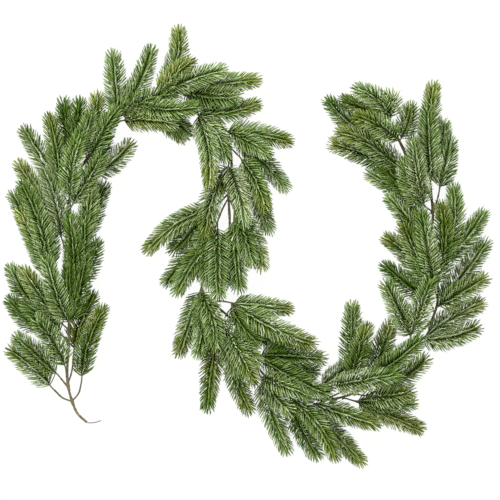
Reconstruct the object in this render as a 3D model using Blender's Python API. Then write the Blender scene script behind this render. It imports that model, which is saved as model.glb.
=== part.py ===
"""A Christmas garland: one wrapped stem laid in an S, a bare wire at its tail and sprigs of soft needles.

Units are metres, Z is up and the garland lies on z = 0. Its layout was read by eye off the photograph, in
pixels, and heights were judged from which sprays pass over which. A sprig is one solid: the sprays that
fork from one stalk. A spray is a slim core, pushed out ring by ring, with needles raised from small faces.
"""

import math
import random

import bmesh
import bpy
import numpy as np
from mathutils import Matrix, Vector

COLLECTION_NAME = "christmas_garland"
MM = 0.001

# Driving dimensions. A garland sold 1.83 m long is this wide when it is laid in this S.
GARLAND_WIDTH = 0.737
WIDTH_IN_PIXELS = 491.0
PIXEL = GARLAND_WIDTH / WIDTH_IN_PIXELS
CENTRE_PIXEL = (248.16, 247.43)

STEM_RADIUS = 0.0019
STEM_STEP = 0.020
TWIG_RADIUS = 0.0013
TWIG_STEP = 0.014
WIRE_RADIUS = 0.0007
WIRE_STEP = 0.005
SIX_SIDES = 1
FOUR_SIDES = 0
WELD = 0.00001

# Touching solids keep a small gap: a stalk to the stem or to its twig's end, and the wire to the stem's end.
SEAT_GAP = 0.0004
WIRE_GAP = 0.0007

# A stalk lies along the stem for a step, then bends out to its fork. A stub sits on the end of a twig.
STALK_RUN = 0.016
STALK_STEP = 0.005
STALK_LEAST_REACH = 0.0065
STUB_LENGTH = 0.006

# A spray's core and its whorls of needles, which lean further forward towards the tip.
CORE_RADIUS = 0.0013
CORE_SIDES = 3
ROOT_SINK = 0.0012
LEAST_BARE = 0.005
LONG_BARE = 0.020
WHORL_LENGTH = 0.0023
WHORL_PITCH = 0.0275
WHORL_TURN = math.radians(30)
TIP_MARGIN = 0.007
POINT_LENGTH = 0.009
NEEDLE_LENGTH = 0.0215
TIP_NEEDLE_LENGTH = 0.0175
LEAN_ALONG = math.radians(54)
LEAN_AT_TIP = math.radians(31)
LEAST_LEAN = math.radians(19)
TIP_SHARPNESS = 2.2

# A needle is drawn again, each time with more freedom and a little shorter, until it clears the others.
SEED = 3
TRIES_PER_NEEDLE = 26
FIRST_SWING = 3.0
LEAN_SHARE = 0.7
LENGTH_SPREAD = 0.05
SHORTER_EACH_TRY = 0.012
NEEDLE_RADIUS = 0.0015
NEEDLE_GAP = 0.0004
NEEDLE_REACH = 0.029
PARTED_FROM = 0.24
LEAST_SPREAD = 0.003
OWN_CORE_FROM = 0.004
TOUCH_HEIGHT = 0.002
STEM_GROUP = -1
NEEDLE_GROUP = -2

# Cores are bent clear of each other, mostly up and down, so that the layout stays as the photograph's.
CORE_DISTANCE = 0.0085
LOWEST_CORE = 0.009
BEND_ROUNDS = 90
POINTS_PER_CORE = 17
CURVE_STEP = 0.005
PAIR_REACH = 0.016
FREE_AFTER = 0.004
FREE_RAMP = 0.014
FORK_REACH = 0.022
FOOT_REACH = 0.012
SIDEWAYS_SHARE = 0.25
PUSH_SHARE = 0.5
STRAIGHTEN_SHARE = 0.15

WRAP_COLOUR = (0.30, 0.20, 0.10)
WIRE_COLOUR = (0.45, 0.44, 0.40)
GREEN = (0.085, 0.160, 0.050)
OLIVE = (0.130, 0.170, 0.040)
GREY_GREEN = (0.095, 0.170, 0.085)
OLIVE_SPRIGS = ("tail_left", "tail_inner", "left_fan", "left_edge", "shoulder_top", "arch_crown",
                "arch_hang", "summit", "top_front", "wing", "sweep", "keel", "rise_low", "hand_low",
                "head_top", "thumb")
GREY_SPRIGS = ("left_high", "shoulder_out", "inner_low", "arch_inner", "bend_right", "neck_right",
               "prow_front", "hand_high", "crest", "waist_low")

# The stem's centre line from the wrapped tail to the upper end: photo pixels and a height in millimetres.
STEM_ROUTE = [
    (87, 423, 2.6), (84.5, 422, 2.6), (80.5, 418.5, 3), (76, 411, 5), (72, 401, 9), (68.5, 387, 17),
    (67.5, 372, 26), (69, 350, 32), (69.5, 330, 35), (68, 308, 35), (66, 285, 34), (65, 265, 33),
    (67, 240, 33), (69, 220, 33), (69, 203, 33), (74, 186, 33), (83, 166, 33), (95, 146, 33),
    (108, 128, 33), (124, 113, 33), (142, 103, 33), (160, 94, 33), (178, 93, 33), (196, 99, 33),
    (212, 113, 33), (224, 132, 33), (231, 152, 33), (232, 174, 33), (229, 196, 33), (230, 214, 33),
    (229, 236, 33), (216, 262, 33), (203, 282, 33), (205, 295, 33), (219, 308, 33), (234, 322, 33),
    (245, 342, 33), (256, 364, 33), (273, 383, 33), (296, 395, 33), (320, 400, 33), (340, 398, 33),
    (362, 390, 33), (384, 377, 33), (402, 357, 33), (416, 337, 33), (431, 322, 33), (438, 302, 33),
    (438, 278, 33), (437, 254, 33), (432, 232, 33), (434, 212, 33), (430, 194, 33), (419, 176, 33),
    (408, 159, 33), (400, 141, 35), (391, 124, 37),
]
WIRE_ROUTE = [(87, 423, 2.6), (90, 423.5, 2.4), (95.5, 423, 2.0), (101.5, 421, 1.4)]

# Brown twigs that show between the sprays, from the stem to the sprig each one carries.
TWIGS = {
    "tail_left": [(72, 402, 8), (65, 400, 8), (58, 394, 10), (52, 388, 13)],
    "tail_low": [(68.4, 388, 16), (63, 381, 17), (58, 375, 18)],
    "tail_right": [(72, 402, 8), (78, 395, 9), (81, 388, 11), (82, 379, 14)],
    "tail_inner": [(68, 384, 19), (71, 376, 22), (73, 366, 24), (74, 352, 24)],
    "neck_right": [(228, 143, 33), (234, 151, 35), (241, 158, 36)],
    "wing": [(230, 192, 33), (221, 202, 33), (211, 209, 33)],
    "tassel": [(229, 198, 33), (222, 211, 36), (218, 222, 39)],
    "waist_low": [(209, 297, 33), (215, 306, 29), (220, 315, 28)],
    "side_arms": [(213, 303, 33), (222, 301, 38), (232, 303, 40)],
    "prow": [(325, 400, 33), (338, 394, 38), (347, 388, 41), (352, 379, 42)],
    "crest_right": [(434, 208, 33), (438, 200, 37), (440, 190, 39)],
    "plume": [(433, 204, 33), (432, 193, 40), (431, 182, 42)],
    "head_mid": [(407, 157, 33), (405, 149, 39), (400, 141, 44)],
}

# Sprigs, in photo pixels and millimetres: where the stalk forks, its height, and its sprays. A spray is the
# place halfway along its core, its core's tip, the heights of the two and the bare length at its foot.
SPRIGS = {
    "tail_left": ((52, 388), 13, [((31, 365), (12, 352), 18, 16, 3)]),
    "tail_low": ((58, 375), 18, [((38, 356), (18, 338), 27, 30, 3)]),
    "tail_fork": ((66, 368), 34, [((53, 340), (37, 320), 46, 60, 4)]),
    "tail_inner": ((74, 352), 24, [((80, 324), (93, 297), 26, 24, 6)]),
    "tail_right": ((82, 379), 14, [((87, 343), (103, 310), 36, 46, 3)]),
    "low_crown": ((70, 324), 43, [((56, 294), (48, 262), 63, 73, 5), ((69, 293), (70, 266), 49, 55, 6),
                                  ((80, 290), (86, 258), 45, 53, 6)]),
    "left_fan": ((60, 322), 29, [((42, 297), (25, 272), 37, 41, 8), ((29, 301), (12, 269), 21, 17, 24)]),
    "left_skirt": ((63, 336), 21, [((46, 319), (27, 305), 29, 31, 8),
                                   ((31, 324), (11, 301), 10, 12, 34)]),
    "left_trio": ((76, 284), 39, [((75, 250), (71, 218), 57, 67, 6), ((83, 252), (85, 222), 51, 61, 6),
                                  ((89, 268), (96, 243), 29, 25, 6)]),
    "left_edge": ((51, 278), 31, [((38, 245), (22, 213), 37, 45, 6), ((31, 226), (14, 196), 17, 15, 24),
                                  ((40, 218), (24, 186), 55, 65, 20),
                                  ((48, 226), (39, 188), 29, 27, 18)]),
    "left_high": ((62, 238), 35, [((58, 204), (46, 174), 45, 47, 4), ((41, 199), (20, 165), 15, 13, 26)]),
    "shoulder_out": ((61, 192), 37, [((44, 160), (25, 131), 29, 19, 5),
                                     ((57, 150), (50, 119), 45, 51, 5)]),
    "shoulder_top": ((71, 208), 41, [((71, 166), (82, 135), 69, 79, 18),
                                     ((88, 182), (102, 157), 55, 67, 8)]),
    "inner_low": ((83, 243), 27, [((93, 213), (104, 187), 21, 19, 4),
                                  ((89, 211), (92, 181), 45, 47, 10)]),
    "arch_back": ((75, 164), 33, [((67, 130), (64, 103), 23, 17, 8), ((77, 130), (80, 103), 33, 31, 6),
                                  ((85, 138), (92, 115), 49, 57, 8)]),
    "arch_crown": ((91, 156), 39, [((96, 120), (98, 98), 39, 41, 5),
                                   ((104, 130), (117, 111), 55, 63, 6)]),
    "arch_inner": ((93, 174), 27, [((101, 146), (107, 120), 19, 15, 8),
                                   ((114, 162), (130, 145), 17, 15, 6)]),
    "horns": ((119, 117), 35, [((116, 83), (113, 55), 29, 25, 6), ((140, 85), (151, 51), 37, 39, 7),
                               ((148, 100), (174, 95), 51, 54, 4)]),
    "arch_hang": ((122, 121), 39, [((150, 119), (174, 124), 51, 55, 2)]),
    "summit": ((157, 97), 39, [((178, 64), (179, 31), 23, 19, 12), ((175, 75), (190, 63), 51, 61, 8),
                               ((192, 79), (223, 71), 67, 65, 14)]),
    "top_right": ((184, 91), 38, [((222, 84), (256, 80), 37, 28, 22), ((212, 97), (238, 96), 52, 53, 8),
                                  ((206, 104), (229, 108), 17, 15, 8)]),
    "top_front": ((139, 105), 41, [((168, 111), (196, 108), 69, 75, 4),
                                   ((166, 121), (183, 137), 21, 17, 14),
                                   ((170, 116), (188, 133), 33, 29, 24)]),
    "bend_front": ((198, 114), 37, [((230, 113), (256, 105), 35, 37, 4),
                                    ((210, 148), (210, 182), 61, 67, 4),
                                    ((218, 134), (226, 158), 47, 49, 4)]),
    "bend_right": ((226, 131), 37, [((257, 134), (288, 141), 37, 29, 4),
                                    ((248, 141), (267, 153), 58, 63, 5),
                                    ((261, 158), (285, 187), 21, 19, 24)]),
    "neck": ((229, 166), 37, [((212, 197), (206, 234), 47, 55, 30), ((223, 178), (219, 189), 21, 15, 4),
                              ((240, 192), (245, 222), 71, 79, 5)]),
    "neck_right": ((241, 158), 36, [((258, 198), (269, 229), 23, 19, 14),
                                    ((256, 180), (265, 207), 55, 63, 4)]),
    "wing": ((211, 209), 33, [((177, 223), (149, 249), 33, 27, 4), ((191, 232), (174, 250), 17, 13, 6)]),
    "wing_low": ((212, 238), 27, [((189, 257), (167, 281), 15, 13, 8),
                                  ((193, 262), (178, 291), 39, 45, 8)]),
    "tassel": ((218, 222), 39, [((204, 248), (197, 274), 31, 27, 10),
                                ((218, 262), (219, 296), 61, 71, 12),
                                ((208, 256), (208, 284), 46, 43, 14)]),
    "tassel_right": ((235, 210), 37, [((236, 253), (240, 288), 47, 49, 22),
                                      ((254, 238), (262, 266), 37, 33, 8),
                                      ((246, 240), (252, 262), 57, 57, 12),
                                      ((229, 252), (230, 282), 31, 27, 30)]),
    "waist": ((201, 290), 27, [((190, 322), (180, 352), 17, 15, 4), ((205, 322), (199, 353), 41, 47, 4),
                               ((213, 318), (217, 346), 51, 57, 8)]),
    "waist_low": ((220, 315), 28, [((212, 366), (208, 407), 19, 15, 26),
                                   ((226, 344), (238, 372), 43, 51, 4)]),
    "sweep": ((229, 332), 35, [((235, 376), (249, 410), 25, 19, 16), ((241, 356), (254, 381), 59, 69, 6),
                               ((245, 347), (258, 363), 53, 55, 4)]),
    "side_arms": ((232, 303), 40, [((260, 307), (288, 309), 27, 19, 4),
                                   ((272, 328), (312, 344), 57, 55, 24),
                                   ((258, 333), (287, 350), 23, 19, 14),
                                   ((238, 322), (258, 342), 49, 47, 6)]),
    "right_fan": ((257, 356), 39, [((291, 356), (322, 359), 37, 31, 8),
                                   ((288, 370), (315, 372), 19, 15, 10),
                                   ((296, 380), (327, 394), 59, 65, 22)]),
    "under_fan": ((261, 377), 29, [((271, 413), (287, 450), 19, 15, 10),
                                   ((275, 396), (291, 411), 43, 55, 4),
                                   ((285, 385), (309, 395), 61, 63, 6)]),
    "keel": ((290, 397), 33, [((301, 427), (317, 456), 19, 15, 6), ((317, 421), (335, 456), 53, 61, 6),
                              ((330, 428), (361, 462), 25, 17, 26)]),
    "keel_right": ((313, 403), 37, [((345, 414), (375, 424), 45, 45, 4)]),
    "prow": ((352, 379), 42, [((352, 342), (353, 307), 29, 21, 8), ((360, 351), (367, 328), 57, 63, 8)]),
    "prow_front": ((320, 388), 35, [((343, 373), (368, 352), 21, 17, 6),
                                    ((361, 381), (398, 374), 73, 79, 28)]),
    "rise": ((370, 380), 41, [((382, 350), (391, 325), 37, 39, 10),
                              ((397, 360), (420, 341), 65, 71, 10)]),
    "rise_low": ((366, 396), 33, [((403, 380), (426, 360), 23, 21, 18),
                                  ((389, 397), (410, 392), 51, 57, 8)]),
    "rise_skirt": ((354, 401), 29, [((383, 403), (412, 404), 33, 31, 8),
                                    ((386, 414), (420, 429), 15, 13, 10)]),
    "hand_low": ((422, 339), 31, [((451, 338), (477, 328), 17, 15, 3),
                                  ((456, 316), (481, 304), 35, 29, 14)]),
    "hand_high": ((437, 308), 39, [((463, 292), (484, 279), 49, 43, 3),
                                   ((466, 272), (486, 244), 25, 21, 12)]),
    "thumb": ((411, 337), 41, [((400, 312), (387, 285), 59, 63, 4), ((421, 308), (431, 281), 61, 71, 5)]),
    "left_hand": ((428, 300), 29, [((407, 284), (387, 267), 15, 13, 6),
                                   ((413, 257), (388, 239), 31, 25, 16)]),
    "column": ((435, 288), 39, [((415, 252), (404, 225), 51, 55, 10),
                                ((428, 250), (421, 213), 69, 75, 5),
                                ((446, 246), (442, 206), 55, 57, 8)]),
    "column_right": ((445, 262), 37, [((466, 240), (483, 215), 29, 23, 4),
                                      ((456, 222), (454, 189), 41, 37, 10)]),
    "column_left": ((424, 240), 33, [((407, 217), (391, 199), 41, 37, 4),
                                     ((406, 193), (371, 174), 21, 15, 18)]),
    "crest": ((425, 206), 41, [((417, 172), (413, 141), 73, 79, 5), ((411, 187), (404, 163), 57, 61, 5),
                               ((403, 187), (384, 165), 33, 27, 14)]),
    "crest_right": ((440, 190), 39, [((445, 166), (450, 142), 39, 37, 3),
                                     ((442, 153), (444, 124), 19, 15, 10)]),
    "plume": ((431, 182), 42, [((429, 144), (428, 111), 61, 67, 5), ((430, 121), (434, 87), 29, 23, 30)]),
    "head_low": ((402, 169), 29, [((364, 153), (334, 144), 25, 21, 8),
                                  ((368, 141), (341, 132), 49, 53, 6)]),
    "head_mid": ((400, 141), 44, [((379, 125), (357, 117), 69, 75, 4),
                                  ((352, 127), (330, 102), 19, 17, 28),
                                  ((408, 125), (411, 108), 39, 43, 4)]),
    "head_top": ((391, 121), 39, [((379, 99), (358, 90), 55, 59, 5), ((368, 109), (345, 101), 31, 29, 5),
                                  ((392, 107), (390, 95), 49, 53, 4)]),
}


def place(x, y, height):
    """A place in the part's frame from photo pixels and a height in millimetres."""
    return np.array([(x - CENTRE_PIXEL[0]) * PIXEL, (CENTRE_PIXEL[1] - y) * PIXEL, height * MM])


def unit(vector):
    """The vector at length one."""
    return vector / np.linalg.norm(vector)


def lengths_along(line):
    """The distance from the line's start to each of its points."""
    return np.concatenate([[0], np.cumsum(np.linalg.norm(np.diff(line, axis=0), axis=1))])


def points_at(line, distances):
    """The places on a line at the given distances from its start."""
    along = lengths_along(line)
    return np.stack([np.interp(distances, along, line[:, axis]) for axis in range(3)], axis=1)


def even_steps(line, step):
    """The same line, cut into equal pieces of about one step."""
    length = lengths_along(line)[-1]
    return points_at(line, np.linspace(0, length, max(2, round(length / step) + 1)))


def smooth(points, step):
    """A Catmull-Rom curve through the points, cut into equal pieces of about one step."""
    points = np.array(points)
    ends = np.vstack([2 * points[0] - points[1], points, 2 * points[-1] - points[-2]])
    t = np.linspace(0, 1, 24, endpoint=False)[:, None]
    pieces = []
    for a, b, c, d in zip(ends, ends[1:], ends[2:], ends[3:]):
        bend = 2 * a - 5 * b + 4 * c - d
        pieces.append(b + 0.5 * ((c - a) * t + bend * t**2 + (3 * b - a - 3 * c + d) * t**3))
    return even_steps(np.vstack(pieces + [points[-1:]]), step)


def nearest_on(line, point):
    """How far along a line its nearest place to a point is."""
    a, b = line[:-1], line[1:]
    share = np.clip(np.sum((point - a) * (b - a), axis=1) / np.sum((b - a)**2, axis=1), 0, 1)
    gaps = np.linalg.norm(a + share[:, None] * (b - a) - point, axis=1)
    nearest = int(np.argmin(gaps))
    along = lengths_along(line)
    return along[nearest] + share[nearest] * (along[nearest + 1] - along[nearest])


def twig_line(name):
    """A twig's centre line, which ends one seat gap before the stub of the sprig it carries."""
    points = [place(*point) for point in TWIGS[name]]
    points[-1] = points[-1] - unit(points[-1] - points[-2]) * (STUB_LENGTH + SEAT_GAP)
    return smooth(points, TWIG_STEP)


def stalk_line(name, stem):
    """A sprig's stalk, from its seat on the stem or on its twig's end to the place where it forks."""
    fork = place(*SPRIGS[name][0], SPRIGS[name][1])
    if name in TWIGS:
        return np.array([fork - unit(fork - place(*TWIGS[name][-2])) * STUB_LENGTH, fork])
    beside = nearest_on(stem, fork)
    axis_place = points_at(stem, [beside])[0]
    reach = np.linalg.norm(fork - axis_place)
    if reach < STALK_LEAST_REACH:
        fork = axis_place + (fork - axis_place) * STALK_LEAST_REACH / reach
    seat = max(beside - STALK_RUN, STALK_STEP)
    on_axis = points_at(stem, [seat, seat + STALK_STEP])
    run = unit(on_axis[1] - on_axis[0])
    aside = fork - axis_place
    aside = unit(aside - run * np.dot(aside, run))
    return np.vstack([on_axis + (STEM_RADIUS + SEAT_GAP + CORE_RADIUS) * aside, fork])


def stalk_side(stalk, stem):
    """The way from a stalk's seat to the stem's axis, which one corner of the stalk points along."""
    return unit(points_at(stem, [nearest_on(stem, stalk[0])])[0] - stalk[0])


def lay_out_sprays(stem):
    """Every spray as it is laid out, before the cores are bent clear of each other."""
    sprays = []
    for name, (_, _, shapes) in SPRIGS.items():
        stalk = stalk_line(name, stem)
        side = None if name in TWIGS else stalk_side(stalk, stem)
        for order, (via, tip, via_height, tip_height, bare) in enumerate(shapes):
            end = place(*tip, tip_height)
            control = 2 * place(*via, via_height) - 0.5 * (stalk[-1] + end)
            t = np.linspace(0, 1, 2 * POINTS_PER_CORE)[:, None]
            curve = (1 - t)**2 * stalk[-1] + 2 * t * (1 - t) * control + t**2 * end
            core = points_at(curve, np.linspace(0, lengths_along(curve)[-1], POINTS_PER_CORE))
            sprays.append({"sprig": name, "leads": order == 0, "stalk": stalk, "core": core,
                           "bare": bare * MM, "side": side if order == 0 else None})
    return sprays


def close_pairs(points, reach):
    """Numbers of the points that lie within reach of each other in plan."""
    first, second = [], []
    for index in range(len(points) - 1):
        gaps = np.linalg.norm(points[index + 1:, :2] - points[index, :2], axis=1)
        near = np.flatnonzero(gaps < reach) + index + 1
        first.append(np.full(len(near), index))
        second.append(near)
    return np.concatenate(first), np.concatenate(second)


def pairs_to_part(sprays, reaches, fixed_count, points):
    """The close pairs of points that have to be kept apart: of two sprays, or of a spray and a fixed line."""
    sprigs = [spray["sprig"] for spray in sprays]
    still = np.full(fixed_count, -1)
    spray_of = np.concatenate([np.repeat(np.arange(len(sprays)), POINTS_PER_CORE), still])
    sprig_numbers = [sprigs.index(sprig) for sprig in sprigs]
    sprig_of = np.concatenate([np.repeat(sprig_numbers, POINTS_PER_CORE), still])
    reach = np.concatenate([reaches.ravel(), np.full(fixed_count, np.inf)])
    first, second = close_pairs(points, PAIR_REACH)
    nearest = np.minimum(reach[first], reach[second])
    at_fork = (sprig_of[first] == sprig_of[second]) & (nearest < FORK_REACH)
    at_foot = (spray_of[second] < 0) & (reach[first] < FOOT_REACH)
    keep = (spray_of[first] != spray_of[second]) & ~at_fork & ~at_foot
    return first[keep], second[keep]


def pushes(points, first, second):
    """How far each point is pushed away from those that are too close to it."""
    offset = points[first] - points[second]
    gap = np.linalg.norm(offset, axis=1)
    way = offset * np.array([SIDEWAYS_SHARE, SIDEWAYS_SHARE, 1.0])
    way *= (np.maximum(CORE_DISTANCE - gap, 0) / np.maximum(np.linalg.norm(way, axis=1), 1e-6))[:, None]
    close = (gap < CORE_DISTANCE).astype(float)
    met = np.bincount(first, close, len(points)) + np.bincount(second, close, len(points))
    total = [np.bincount(first, way[:, axis], len(points)) - np.bincount(second, way[:, axis], len(points))
             for axis in range(3)]
    return PUSH_SHARE * np.stack(total, axis=1) / np.maximum(met, 1)[:, None]


def bend_clear(sprays, fixed_lines):
    """Bend the cores clear of each other and of the fixed lines, with each core's foot held."""
    cores = np.array([spray["core"] for spray in sprays])
    reaches = np.array([lengths_along(core) for core in cores])
    freedom = np.clip((reaches - FREE_AFTER) / FREE_RAMP, 0, 1)[..., None]
    fixed = np.vstack(fixed_lines)
    points = np.vstack([cores.reshape(-1, 3), fixed])
    first, second = pairs_to_part(sprays, reaches, len(fixed), points)
    for _ in range(BEND_ROUNDS):
        step = pushes(points, first, second)[:-len(fixed)].reshape(cores.shape)
        step[:, 1:-1] = 0.5 * step[:, 1:-1] + 0.25 * (step[:, :-2] + step[:, 2:])
        cores += step * freedom
        bend = 0.5 * (cores[:, :-2] + cores[:, 2:]) - cores[:, 1:-1]
        cores[:, 1:-1] += STRAIGHTEN_SHARE * bend * freedom[:, 1:-1]
        lifted = np.maximum(cores[..., 2], LOWEST_CORE)
        cores[..., 2] = np.where(freedom[..., 0] > 0, lifted, cores[..., 2])
        points[:-len(fixed)] = cores.reshape(-1, 3)
    for spray, core in zip(sprays, cores):
        spray["core"] = core


class Rods:
    """Straight rods that taper from a start to an end, in numbered groups, that a needle keeps clear of."""

    def __init__(self):
        self.starts = np.zeros((0, 3))
        self.ends = np.zeros((0, 3))
        self.radii = np.zeros((0, 2))
        self.groups = np.zeros(0, dtype=int)

    def add(self, starts, ends, start_radius, end_radius, group):
        """Add rods under one group number."""
        self.starts = np.vstack([self.starts, starts])
        self.ends = np.vstack([self.ends, ends])
        self.radii = np.vstack([self.radii, np.tile([start_radius, end_radius], (len(starts), 1))])
        self.groups = np.concatenate([self.groups, np.full(len(starts), group)])

    def add_line(self, line, radius, group):
        """Add a line of even thickness."""
        self.add(line[:-1], line[1:], radius, radius, group)

    def near(self, spot, reach, left_out):
        """The rods that may come within reach of a spot, apart from one group."""
        middles = 0.5 * (self.starts + self.ends)
        halves = 0.5 * np.linalg.norm(self.ends - self.starts, axis=1)
        chosen = (np.linalg.norm(middles - spot, axis=1) < reach + halves) & (self.groups != left_out)
        return self.starts[chosen], self.ends[chosen], self.radii[chosen]


def least_gap(start, end, radius, rods):
    """The least free space between a needle, which tapers to nothing, and a set of rods."""
    starts, ends, radii = rods
    if not len(starts):
        return np.inf
    u, v, w = end - start, ends - starts, start - starts
    a, b, c = np.dot(u, u), v @ u, np.sum(v * v, axis=1)
    d, e = w @ u, np.sum(v * w, axis=1)
    s = np.clip((b * e - c * d) / np.maximum(a * c - b * b, 1e-14), 0, 1)
    t = np.clip((b * s + e) / np.maximum(c, 1e-14), 0, 1)
    s = np.clip((b * t - d) / a, 0, 1)
    between = np.linalg.norm(w + s[:, None] * u - t[:, None] * v, axis=1)
    return float(np.min(between - radius * (1 - s) - radii[:, 0] * (1 - t) - radii[:, 1] * t))


def fans_out(root, tip, others):
    """Whether a needle spreads away from the others of its whorl instead of leaning over one."""
    ways = [(unit(root - foot), tip - end) for foot, end in others]
    return all(np.dot(way, apart) > LEAST_SPREAD for way, apart in ways)


def needle_tip(root, outward, ahead, share, rods, others, draw):
    """The tip of a needle that keeps clear of the rods and the others, or None where there is no room."""
    across = unit(outward - ahead * np.dot(outward, ahead))
    sideways = np.cross(ahead, across)
    lean = LEAN_ALONG + (LEAN_AT_TIP - LEAN_ALONG) * share
    length = NEEDLE_LENGTH + (TIP_NEEDLE_LENGTH - NEEDLE_LENGTH) * share
    for attempt in range(TRIES_PER_NEEDLE):
        loose = math.radians(FIRST_SWING + attempt)
        swing = draw.gauss(0, 1) * loose
        tilt = max(LEAST_LEAN, lean + LEAN_SHARE * draw.gauss(0, 1) * loose)
        size = length * (1 + LENGTH_SPREAD * draw.gauss(0, 1)) * (1 - SHORTER_EACH_TRY * attempt)
        out = math.cos(swing) * across + math.sin(swing) * sideways
        tip = root + size * (math.cos(tilt) * ahead + math.sin(tilt) * out)
        tip[2] = 0.0 if tip[2] < TOUCH_HEIGHT else tip[2]
        if fans_out(root, tip, others) and least_gap(root, tip, NEEDLE_RADIUS, rods) > NEEDLE_GAP:
            return tip
    return None


def core_stations(spray):
    """A core's whole line, the distances along it of its rings, and the rings that start a whorl."""
    stalk, core = spray["stalk"], spray["core"]
    if spray["leads"]:
        line = np.vstack([stalk[:-1], core])
        stations = list(lengths_along(stalk))
    else:
        line = np.vstack([core[0] - unit(stalk[-1] - stalk[-2]) * ROOT_SINK, core])
        stations = [0.0, ROOT_SINK]
    fork, end = stations[-1], lengths_along(line)[-1]
    if not spray["leads"]:
        stations.pop()
    first, last = fork + max(spray["bare"], LEAST_BARE), end - TIP_MARGIN
    if spray["bare"] > LONG_BARE:
        stations.append(fork + 0.5 * spray["bare"])
    count = max(2, round((last - first) / WHORL_PITCH) + 1)
    whorls = {}
    for number, where in enumerate(np.linspace(first, last, count)):
        whorls[len(stations)] = (number / (count - 1))**TIP_SHARPNESS
        stations += [where, where + WHORL_LENGTH]
    return line, stations, whorls


def core_places(line, stations, whorls, first_side):
    """The place and turn of each ring of a core, carried along its line without other twist."""
    centres = points_at(line, stations)
    forward = np.gradient(centres, axis=0)
    side = np.array([0.0, 0.0, 1.0]) if first_side is None else first_side
    places, turn = [], 0.0
    for index, (centre, ahead) in enumerate(zip(centres, forward)):
        ahead = unit(ahead)
        side = unit(side - ahead * np.dot(side, ahead))
        turn += WHORL_TURN if index in whorls else 0.0
        turn += math.pi / CORE_SIDES if index - 1 in whorls else 0.0
        axes = Matrix((side, np.cross(ahead, side), ahead)).transposed().to_4x4()
        places.append(Matrix.Translation(Vector(centre)) @ axes @ Matrix.Rotation(turn, 4, "Z"))
    return places


def push_end(mesh, end, move):
    """Push the end face of a core on to its next place: the new end face and the faces round it."""
    inside = all(len(edge.link_faces) > 1 for edge in end.edges)
    pushed = bmesh.ops.extrude_face_region(mesh, geom=[end])
    face = next(item for item in pushed["geom"] if isinstance(item, bmesh.types.BMFace))
    bmesh.ops.transform(mesh, matrix=move, verts=face.verts)
    if inside:
        bmesh.ops.delete(mesh, geom=[end], context="FACES_ONLY")
    sides = [other for edge in face.edges for other in edge.link_faces if other is not face]
    return face, sides


def with_needle(rods, root, tip):
    """The rods and one needle more, without its foot, which stands against its neighbours' feet."""
    starts, ends, radii = rods
    start = root + PARTED_FROM * (tip - root)
    radius = NEEDLE_RADIUS * (1 - PARTED_FROM)
    return np.vstack([starts, start]), np.vstack([ends, tip]), np.vstack([radii, (radius, 0.0)])


def with_core(rods, line, start):
    """The rods and what follows of the needle's own core, from a distance along its line."""
    rest = points_at(line, np.arange(start, lengths_along(line)[-1] + CURVE_STEP, CURVE_STEP))
    starts, ends, radii = rods
    core = np.full((len(rest) - 1, 2), CORE_RADIUS)
    return np.vstack([starts, rest[:-1]]), np.vstack([ends, rest[1:]]), np.vstack([radii, core])


def raise_needles(mesh, sides, middle, share, near, draw):
    """Cut the faces of a whorl in two and raise a needle from each half that has room for one."""
    ahead = np.array(middle.col[2][:3])
    centre = np.array(middle.translation)
    grown = []
    for face in bmesh.ops.triangulate(mesh, faces=sides, quad_method="SHORT_EDGE")["faces"]:
        root = np.array(face.calc_center_median())
        tip = needle_tip(root, root - centre, ahead, share, near, grown, draw)
        if tip is not None:
            bmesh.ops.poke(mesh, faces=[face])["verts"][0].co = Vector(tip)
            near = with_needle(near, root, tip)
            grown.append((root, tip))
    return np.array(grown)


def grow_spray(spray, group, rods, draw):
    """A spray's mesh: a core pushed out from place to place, needles raised from its whorls, and a point."""
    line, stations, whorls = core_stations(spray)
    places = core_places(line, stations, whorls, spray["side"])
    whole = np.vstack([line, line[-1] + unit(line[-1] - line[-2]) * POINT_LENGTH])
    mesh = bmesh.new()
    bmesh.ops.create_circle(mesh, cap_ends=True, segments=CORE_SIDES, radius=CORE_RADIUS, matrix=places[0])
    end = list(mesh.faces)[0]
    for index in range(1, len(places)):
        end, sides = push_end(mesh, end, places[index] @ places[index - 1].inverted())
        if index - 1 not in whorls:
            continue
        near = rods.near(np.array(places[index].translation), NEEDLE_REACH, group)
        near = with_core(near, whole, stations[index] + OWN_CORE_FROM)
        grown = raise_needles(mesh, sides, places[index - 1], whorls[index - 1], near, draw)
        if len(grown):
            rods.add(grown[:, 0], grown[:, 1], NEEDLE_RADIUS, 0.0, NEEDLE_GROUP)
    point = places[-1] @ Vector((0, 0, lengths_along(line)[-1] - stations[-1] + POINT_LENGTH))
    bmesh.ops.poke(mesh, faces=[end])["verts"][0].co = point
    bmesh.ops.triangulate(mesh, faces=mesh.faces)
    bmesh.ops.recalc_face_normals(mesh, faces=mesh.faces)
    return mesh


def mesh_object(name, mesh, material, collection):
    """An object that holds a finished bmesh."""
    data = bpy.data.meshes.new(name)
    mesh.to_mesh(data)
    mesh.free()
    data.materials.append(material)
    made = bpy.data.objects.new(name, data)
    collection.objects.link(made)
    return made


def evaluated_mesh(source):
    """A new mesh of an object as its modifiers or its curve's bevel make it."""
    return bpy.data.meshes.new_from_object(source.evaluated_get(bpy.context.evaluated_depsgraph_get()))


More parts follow.
